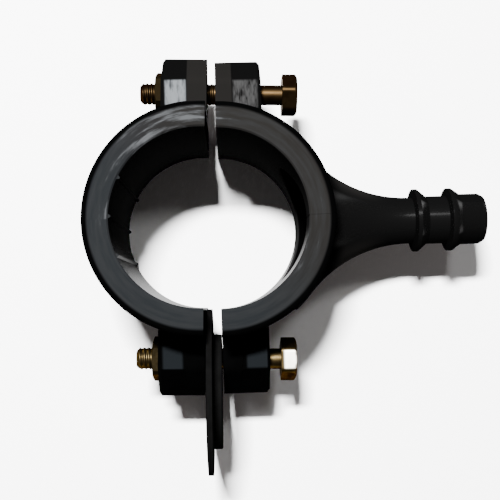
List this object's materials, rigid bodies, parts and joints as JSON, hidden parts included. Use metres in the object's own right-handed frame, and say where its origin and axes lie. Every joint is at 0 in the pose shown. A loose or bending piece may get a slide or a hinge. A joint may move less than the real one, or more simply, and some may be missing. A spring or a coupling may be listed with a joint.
{
  "type": "tapping saddle",
  "caption": "Split plastic pipe saddle clamped by hex bolts, with a flared hose-barb outlet and a flanged rubber seal hung between its lugs.",
  "frame": {"origin": "centre of the outlet half's pipe bore, at mid-length", "axes": "+Z along the pipe, +X out through the hose barb, +Y towards the upper bolt"},
  "size_m": [0.1138, 0.122, 0.05],
  "materials": {
    "black_plastic": "satin moulded black polypropylene",
    "yellow_zinc": "yellow passivated zinc plate on steel",
    "black_rubber": "matt moulded black rubber"
  },
  "bodies": {
    "outlet_half": {"outlet_half": "black_plastic", "outlet_seal": "black_rubber"},
    "strap_half": {"strap_half": "black_plastic", "upper_nut": "yellow_zinc", "lower_nut": "yellow_zinc"},
    "upper_bolt": {"upper_bolt": "yellow_zinc"},
    "lower_bolt": {"lower_bolt": "yellow_zinc"}
  },
  "joints": [
    {"name": "upper_bolt_turn", "type": "hinge", "parent": "outlet_half", "child": "upper_bolt", "pos_m": [-0.00364, 0.03918, 0], "axis": [-0.9994, 0.0349, 0], "range_deg": [-1620, 0]},
    {"name": "lower_bolt_turn", "type": "hinge", "parent": "outlet_half", "child": "lower_bolt", "pos_m": [-0.00635, -0.03837, 0], "axis": [-0.9994, 0.0349, 0], "range_deg": [-1620, 0]},
    {"name": "strap_half_slide", "type": "slide", "parent": "outlet_half", "child": "strap_half", "axis": [0.9994, -0.0349, 0], "range_m": [-0.00571, 0]}
  ],
  "couplings": [
    {"joint": "upper_bolt_turn", "follows": "strap_half_slide", "rad_per_m": 4947.4},
    {"joint": "lower_bolt_turn", "follows": "strap_half_slide", "rad_per_m": 4947.4}
  ]
}
